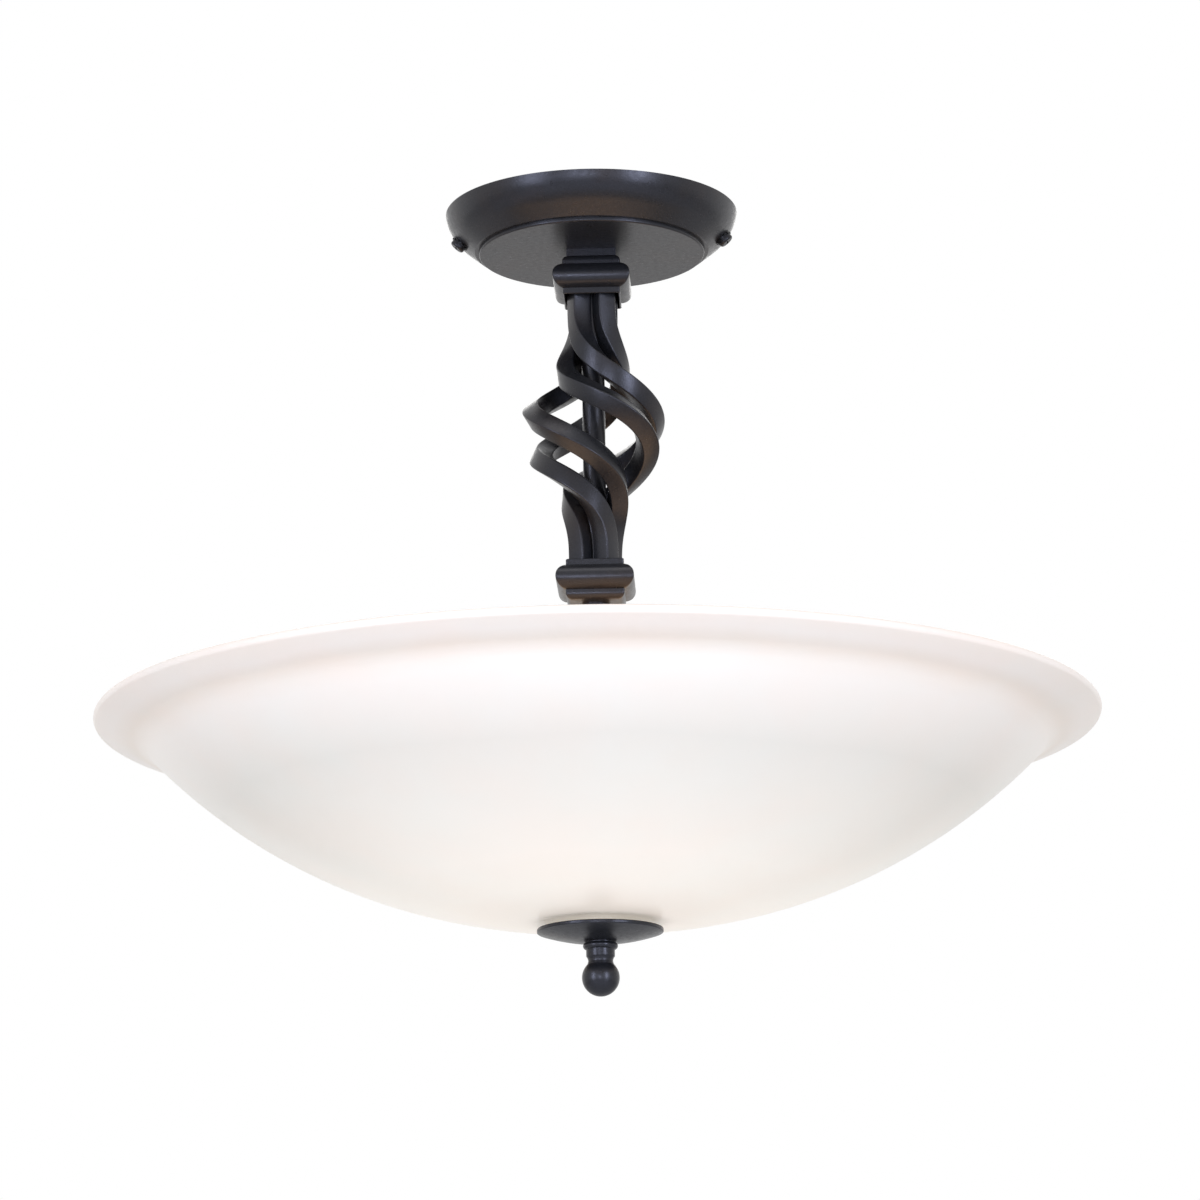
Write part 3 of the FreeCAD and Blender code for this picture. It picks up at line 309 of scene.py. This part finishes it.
def plated(name, colour, roughness, brushed=(1.0, 1.0, 8.0)):
    """Plated metal with fine drawn lines."""
    made, tree, shader = material(name)
    lines = noise(tree, 900.0, detail=3.0, stretch=brushed)
    shade = rescale(tree, lines, NOISE_SPAN, (0.82, 1.08))
    tree.links.new(mix(tree, 1.0, colour, shade, "MULTIPLY"), shader.inputs["Base Color"])
    shader.inputs["Metallic"].default_value = 1.0
    rough = rescale(tree, lines, NOISE_SPAN, (roughness - 0.06, roughness + 0.08))
    tree.links.new(rough, shader.inputs["Roughness"])
    bump(tree, shader, lines, strength=0.15, distance=0.1 * MM)
    return made


def moulded(name, colour, roughness, grain_scale=1800.0):
    """Moulded plastic or rubber."""
    made, tree, shader = material(name)
    grain = noise(tree, grain_scale)
    cloud = rescale(tree, noise(tree, 60.0), NOISE_SPAN, (0.95, 1.04))
    tree.links.new(mix(tree, 1.0, colour, cloud, "MULTIPLY"), shader.inputs["Base Color"])
    rough = rescale(tree, grain, NOISE_SPAN, (roughness - 0.06, roughness + 0.06))
    tree.links.new(rough, shader.inputs["Roughness"])
    bump(tree, shader, grain, strength=0.12, distance=0.1 * MM)
    return made


def dress(finishes):
    """Give every CAD node the finish of its slot."""
    for row in frame["record"]["subparts"]:
        piece = frame["nodes"][row["node"]]
        piece.data.materials.clear()
        piece.data.materials.append(finishes[row["material_slot"]])


# ---------------------------------------------------------------- mesh helpers
def mesh_piece(name, points, faces, finish, body, smooth_angle):
    """New piece that rides on a body.  Edges sharper than the angle stay crisp."""
    mesh = bpy.data.meshes.new(name)
    mesh.from_pydata(points, [], faces)
    mesh.validate()
    mesh.update()
    piece = bpy.data.objects.new(name, mesh)
    bpy.context.scene.collection.objects.link(piece)
    mesh.materials.append(finish)
    mesh.shade_smooth()
    mesh.set_sharp_from_angle(angle=math.radians(smooth_angle))
    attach(piece, body)
    return piece


def band_faces(rings, count, closed):
    """Quads between rings of points; closed joins the last ring to the first."""
    faces = []
    for i in range(rings if closed else rings - 1):
        low, high = i * count, (i + 1) % rings * count
        for j in range(count):
            k = (j + 1) % count
            faces.append((low + j, low + k, high + k, high + j))
    return faces


def rounded_square(half, corner, steps):
    """Points round a square with rounded corners.  A corner as large as half makes a circle."""
    points = []
    for quarter in range(4):
        middle = math.radians(45 + 90 * quarter)
        centre_x = math.copysign(half - corner, math.cos(middle))
        centre_y = math.copysign(half - corner, math.sin(middle))
        for i in range(steps + 1):
            angle = middle + math.radians(-45 + 90 * i / steps)
            x = centre_x + corner * math.cos(angle)
            y = centre_y + corner * math.sin(angle)
            points.append((x, y))
    return points


def arc_centre(w0, z0, w1, z1, w2, z2):
    """Centre of the circle through three points."""
    d = 2 * (w0 * (z1 - z2) + w1 * (z2 - z0) + w2 * (z0 - z1))
    s0, s1, s2 = w0 ** 2 + z0 ** 2, w1 ** 2 + z1 ** 2, w2 ** 2 + z2 ** 2
    return ((s0 * (z1 - z2) + s1 * (z2 - z0) + s2 * (z0 - z1)) / d,
            (s0 * (w2 - w1) + s1 * (w0 - w2) + s2 * (w1 - w0)) / d)


def arc_through(w0, z0, w1, z1, w2, z2, steps):
    """Points on the arc through three points, without the first."""
    cw, cz = arc_centre(w0, z0, w1, z1, w2, z2)
    radius = math.hypot(w0 - cw, z0 - cz)
    first = math.atan2(z0 - cz, w0 - cw)
    middle = math.atan2(z1 - cz, w1 - cw)
    last = math.atan2(z2 - cz, w2 - cw)
    turn = (last - first) % (2 * math.pi)
    if (middle - first) % (2 * math.pi) > turn:
        turn -= 2 * math.pi
    angles = [first + turn * i / steps for i in range(1, steps + 1)]
    return [(cw + radius * math.cos(angle), cz + radius * math.sin(angle)) for angle in angles]


# ---------------------------------------------------------------- basket bars
def bar_axis(share, top, opening):
    """Point on the first bar's axis: share runs from 0 at the upper collar to 1 at the lower."""
    swing = math.sin(math.pi * (share - BAR_BELLY_TUCK * math.sin(2 * math.pi * share)))
    reach = max(swing, 0.0) ** BAR_BELLY_POWER
    radius = BAR_END_RADIUS + (BAR_BELLY_RADIUS - BAR_END_RADIUS) * reach
    angle = math.radians(BAR_START_ANGLE + BAR_TURN * share
                         - BAR_TURN_EASE * math.sin(2 * math.pi * share)
                         - BAR_TURN_EASE_ENDS * math.sin(4 * math.pi * share)
                         - BAR_TURN_LAG * math.sin(math.pi * share) ** 2)
    return Vector((radius * math.cos(angle), radius * math.sin(angle), top - opening * share))


def bar_ring(share, centre, tangent, section):
    """The section square to the axis.  Its outer corner points away from the stem half way
    down, and leans aside towards the collars."""
    outward = Vector((centre.x, centre.y, 0.0))
    outward = (outward - tangent * outward.dot(tangent)).normalized()
    lean = math.radians(BAR_LEAN) * math.cos(math.pi * share)
    corner = outward * math.cos(lean) - tangent.cross(outward) * math.sin(lean)
    beside = tangent.cross(corner)
    ring = []
    for a, b in section:
        point = centre + corner * ((a + b) / math.sqrt(2)) + beside * ((b - a) / math.sqrt(2))
        reach = math.hypot(point.x, point.y)
        if reach < TUBE_CLEAR_R:
            point.x *= TUBE_CLEAR_R / reach
            point.y *= TUBE_CLEAR_R / reach
        ring.append(point)
    return ring


def make_bar(number, finish, top, opening):
    """One bar of the basket.  Its ends run straight on into the collars, as far as the node's."""
    node = "twist_bar_%d" % (number + 1)
    low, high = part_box(node)
    down = Vector((0.0, 0.0, -1.0))
    section = rounded_square(BAR_SIZE / 2, BAR_EDGE, BAR_CORNER_STEPS)
    rings = []
    for z in (high.z, (high.z + top) / 2):
        start = bar_axis(0.0, top, opening)
        rings.append(bar_ring(0.0, Vector((start.x, start.y, z)), down, section))
    for i in range(BAR_STATIONS + 1):
        share = i / BAR_STATIONS
        before = bar_axis(max(share - BAR_TANGENT_STEP, 0.0), top, opening)
        after = bar_axis(min(share + BAR_TANGENT_STEP, 1.0), top, opening)
        tangent = (after - before).normalized()
        rings.append(bar_ring(share, bar_axis(share, top, opening), tangent, section))
    for z in ((low.z + top - opening) / 2, low.z):
        end = bar_axis(1.0, top, opening)
        rings.append(bar_ring(1.0, Vector((end.x, end.y, z)), down, section))
    turn = Matrix.Rotation(2 * math.pi * number / BAR_COUNT, 3, "Z")
    points = [turn @ point for ring in rings for point in ring]
    count = len(section)
    faces = band_faces(len(rings), count, False)
    faces.append(tuple(range(count - 1, -1, -1)))
    faces.append(tuple(range((len(rings) - 1) * count, len(rings) * count)))
    piece = mesh_piece("basket_bar_%d" % (number + 1), points, faces, finish, "fixture",
                       BAR_SMOOTH_ANGLE)
    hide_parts(node)


# ---------------------------------------------------------------- collars
def collar_profile():
    """(half width, height above the mouth, corner rounding) round the collar's section."""
    bead_top = COLLAR_FLANGE_H + COLLAR_BEAD_H
    step_top = bead_top + COLLAR_STEP_H
    top = step_top + COLLAR_NECK_H
    middle = math.sqrt(0.5)     # half way round a quarter of a circle
    outside = [(SOCKET_HALF + COLLAR_BEVEL, 0.0), (COLLAR_FLANGE - COLLAR_BEVEL, 0.0),
               (COLLAR_FLANGE, COLLAR_BEVEL), (COLLAR_FLANGE, COLLAR_FLANGE_H)]
    outside += arc_through(COLLAR_FLANGE, COLLAR_FLANGE_H,
                           COLLAR_BEAD, COLLAR_FLANGE_H + COLLAR_BEAD_H / 2,
                           COLLAR_FLANGE, bead_top, COLLAR_BEAD_STEPS)
    outside += [(COLLAR_STEP, bead_top), (COLLAR_STEP, step_top)]
    outside += arc_through(COLLAR_STEP, step_top,
                           COLLAR_NECK + (COLLAR_STEP - COLLAR_NECK) * middle,
                           step_top + COLLAR_NECK_H * middle,
                           COLLAR_NECK, top, COLLAR_NECK_STEPS)
    rows = [(w, z, COLLAR_CORNER) for w, z in outside]
    rows.append((COLLAR_BORE_R, top, COLLAR_BORE_R))
    rows.append((COLLAR_BORE_R, SOCKET_DEPTH, COLLAR_BORE_R))
    rows.append((SOCKET_HALF, SOCKET_DEPTH, SOCKET_CORNER))
    rows.append((SOCKET_HALF, COLLAR_BEVEL, SOCKET_CORNER))
    return rows


def make_collar(node, mouth_z, up, finish):
    """Square moulded collar: up is 1 where its mouth faces down, and -1 where it faces up."""
    rings = [(height, rounded_square(half, corner, COLLAR_CORNER_STEPS))
             for half, height, corner in collar_profile()]
    points = [(x, y, mouth_z + up * height) for height, ring in rings for x, y in ring]
    faces = band_faces(len(rings), len(rings[0][1]), True)
    if up < 0:
        faces = [face[::-1] for face in faces]
    piece = mesh_piece(node + "_moulding", points, faces, finish, "fixture",
                       COLLAR_SMOOTH_ANGLE)
    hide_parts(node)


# ---------------------------------------------------------------- bowl
def bowed(start, end, bow):
    """Middle of the arc between two points, bowed to the right of the way by an amount."""
    run, rise = end[0] - start[0], end[1] - start[1]
    share = bow / math.hypot(run, rise)
    return (start[0] + end[0]) / 2 + rise * share, (start[1] + end[1]) / 2 - run * share


def beside_arc(start, middle, end, offset):
    """The three points moved towards the arc's middle by an offset, or away by a negative one."""
    cw, cz = arc_centre(*start, *middle, *end)
    moved = []
    for w, z in (start, middle, end):
        share = offset / math.hypot(cw - w, cz - z)
        moved.append((w + (cw - w) * share, z + (cz - z) * share))
    return moved


def bowl_profile(radius, foot_z):
    """Closed section of the bowl as (radius, height), from the hole out along the underside."""
    rim_z = foot_z + BOWL_DEPTH
    floor = (BOWL_FLOOR_R, foot_z)
    shoulder = (radius - BOWL_BRIM, rim_z - BOWL_SHOULDER_DEPTH)
    body = (floor, bowed(floor, shoulder, BOWL_SWELL), shoulder)
    lip = (shoulder[0] + BOWL_THROAT_W, shoulder[1] + BOWL_THROAT_H)
    throat = (shoulder, bowed(shoulder, lip, -BOWL_THROAT_BOW), lip)
    lip_end = (radius - BOWL_LIP_ROUND, rim_z - BOWL_LIP_DEPTH)
    slope = math.atan2(lip_end[1] - lip[1], lip_end[0] - lip[0])
    lip_end_in = (lip_end[0] - BOWL_WALL * math.sin(slope),
                  lip_end[1] + BOWL_WALL * math.cos(slope))
    rim = (radius, (lip_end[1] + lip_end_in[1]) / 2)
    floor_in = (BOWL_FLOOR_R, foot_z + BOWL_WALL)
    middle_in, shoulder_in = beside_arc(*body, BOWL_WALL)[1:]
    throat_in = beside_arc(*throat, -BOWL_WALL)
    points = [(BOWL_HOLE_R, foot_z), floor]
    points += arc_through(*body[0], *body[1], *body[2], BOWL_BODY_STEPS)
    points += arc_through(*throat[0], *throat[1], *throat[2], BOWL_THROAT_STEPS)
    points += [lip_end] + arc_through(*lip_end, *rim, *lip_end_in, BOWL_RIM_STEPS)
    points.append(throat_in[2])
    points += arc_through(*throat_in[2], *throat_in[1], *throat_in[0], BOWL_THROAT_STEPS)
    points += arc_through(*shoulder_in, *middle_in, *floor_in, BOWL_INSIDE_STEPS)
    points.append((BOWL_HOLE_R, foot_z + BOWL_WALL))
    return points


def make_bowl(finish):
    """The glass bowl, turned round the axis."""
    low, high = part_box("glass_bowl")
    profile = bowl_profile(high.x, low.z)
    points = []
    for radius, z in profile:
        for i in range(BOWL_AROUND):
            angle = 2 * math.pi * i / BOWL_AROUND
            points.append((radius * math.cos(angle), radius * math.sin(angle), z))
    faces = band_faces(len(profile), BOWL_AROUND, True)
    piece = mesh_piece("opal_bowl", points, faces, finish, "bowl",
                       BOWL_SMOOTH_ANGLE)
    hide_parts("glass_bowl")


# ---------------------------------------------------------------- stage
def make_camera():
    """Camera at the photograph's angle: below the bowl, and looking up."""
    pitch, yaw = math.radians(CAMERA_PITCH), math.radians(CAMERA_YAW)
    roll = math.radians(CAMERA_ROLL)
    forward = Vector((math.sin(yaw) * math.cos(pitch), math.cos(yaw) * math.cos(pitch),
                      math.sin(pitch)))
    level = Vector((math.cos(yaw), -math.sin(yaw), 0.0))
    upright = level.cross(forward)
    right = level * math.cos(roll) + upright * math.sin(roll)
    up = upright * math.cos(roll) - level * math.sin(roll)
    axes = Matrix((right, up, -forward)).transposed().to_4x4()
    place = Matrix.Translation(Vector((0.0, -CAMERA_DISTANCE, CAMERA_HEIGHT)))
    azimuth = Matrix.Rotation(math.radians(CAMERA_AZIMUTH), 4, "Z")
    data = bpy.data.cameras.new("camera")
    data.sensor_fit = "HORIZONTAL"
    data.sensor_width = SENSOR_WIDTH
    data.lens = CAMERA_LENS
    camera = bpy.data.objects.new("camera", data)
    camera.matrix_world = azimuth @ place @ axes
    bpy.context.scene.collection.objects.link(camera)
    bpy.context.scene.camera = camera


def softbox(name, azimuth, elevation, distance, width, height, power, colour):
    """Area lamp seen from the light at an azimuth (0 is the camera's side) and an elevation."""
    a, e = math.radians(azimuth), math.radians(elevation)
    data = bpy.data.lights.new(name, "AREA")
    data.shape = "RECTANGLE"
    data.size, data.size_y = width, height
    data.energy = power
    data.color = colour
    lamp = bpy.data.objects.new(name, data)
    away = Vector((math.sin(a) * math.cos(e), -math.cos(a) * math.cos(e), math.sin(e)))
    lamp.location = AIM + away * distance
    lamp.rotation_mode = "QUATERNION"
    lamp.rotation_quaternion = away.to_track_quat("Z", "Y")
    lamp.visible_camera = False
    bpy.context.scene.collection.objects.link(lamp)


def make_bowl_glow():
    """What the lit bowl sends up to the stem and the canopy."""
    data = bpy.data.lights.new("bowl_glow", "AREA")
    data.shape = "DISK"
    data.size = BOWL_GLOW_SIZE
    data.energy = BOWL_GLOW_POWER
    data.color = BOWL_GLOW_COLOUR
    lamp = bpy.data.objects.new("bowl_glow", data)
    lamp.location = (0.0, 0.0, BOWL_GLOW_Z)
    lamp.rotation_euler = (math.pi, 0.0, 0.0)
    lamp.visible_camera = False
    bpy.context.scene.collection.objects.link(lamp)


def make_world():
    """White to the camera and in reflections, and dimmer as light on matt surfaces."""
    world = bpy.data.worlds.new("surroundings")
    world.use_nodes = True
    tree = world.node_tree
    background = tree.nodes["Background"]
    background.inputs["Color"].default_value = (1.0, 1.0, 1.0, 1.0)
    path = add(tree, "ShaderNodeLightPath")
    seen = maths(tree, "MAXIMUM", path.outputs["Is Camera Ray"], path.outputs["Is Glossy Ray"])
    seen = maths(tree, "MAXIMUM", seen, path.outputs["Is Transmission Ray"])
    strength = rescale(tree, seen, (0.0, 1.0), (WORLD_DIFFUSE, 1.0))
    tree.links.new(strength, background.inputs["Strength"])
    bpy.context.scene.world = world


def make_floor():
    """Plain pale floor, well below the light."""
    made, tree, shader = material("pale_floor")
    colour = ramp(tree, noise(tree, 3.0), [(0.3, (0.87, 0.87, 0.87)), (0.7, (0.89, 0.89, 0.89))])
    tree.links.new(colour, shader.inputs["Base Color"])
    shader.inputs["Roughness"].default_value = 0.8
    half = FLOOR_SIZE / 2
    corners = [(-half, -half, FLOOR_Z), (half, -half, FLOOR_Z),
               (half, half, FLOOR_Z), (-half, half, FLOOR_Z)]
    mesh = bpy.data.meshes.new("floor")
    mesh.from_pydata(corners, [], [(0, 1, 2, 3)])
    mesh.materials.append(made)
    floor = bpy.data.objects.new("floor", mesh)
    bpy.context.scene.collection.objects.link(floor)


# ---------------------------------------------------------------- build
bowl_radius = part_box("glass_bowl")[1].x
finishes = {
    "graphite_paint": powder_coat("graphite_powder_coat"),
    "black_screw": powder_coat("blackened_screw", (0.006, 0.006, 0.0065), (0.010, 0.008, 0.007)),
    "zinc_steel": plated("zinc_plate", (0.56, 0.56, 0.54), 0.34),
    "brass": plated("plain_brass", (0.70, 0.50, 0.24), 0.32),
    "nickel_cap": plated("nickel_shell", (0.66, 0.65, 0.62), 0.26, (8.0, 8.0, 1.0)),
    "white_plastic": moulded("white_plastic", (0.78, 0.77, 0.73), 0.42),
    "lead_sleeve": moulded("lead_sleeve", (0.72, 0.70, 0.63), 0.5),
    "opal_glass": opal_glass("opal_glass", bowl_radius),
    "opal_bulb": lit_bulb("opal_bulb"),
    "clear_rubber": moulded("clear_rubber", (0.55, 0.53, 0.48), 0.55, 900.0),
}
dress(finishes)

top_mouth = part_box("top_collar")[0].z
bottom_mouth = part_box("bottom_collar")[1].z
for number in range(BAR_COUNT):
    make_bar(number, finishes["graphite_paint"], top_mouth, top_mouth - bottom_mouth)
make_collar("top_collar", top_mouth, 1, finishes["graphite_paint"])
make_collar("bottom_collar", bottom_mouth, -1, finishes["graphite_paint"])
make_bowl(finishes["opal_glass"])

make_camera()
for row in SOFTBOXES:
    softbox(*row)
make_bowl_glow()
make_world()
make_floor()
bpy.context.scene.view_settings.view_transform = "Standard"
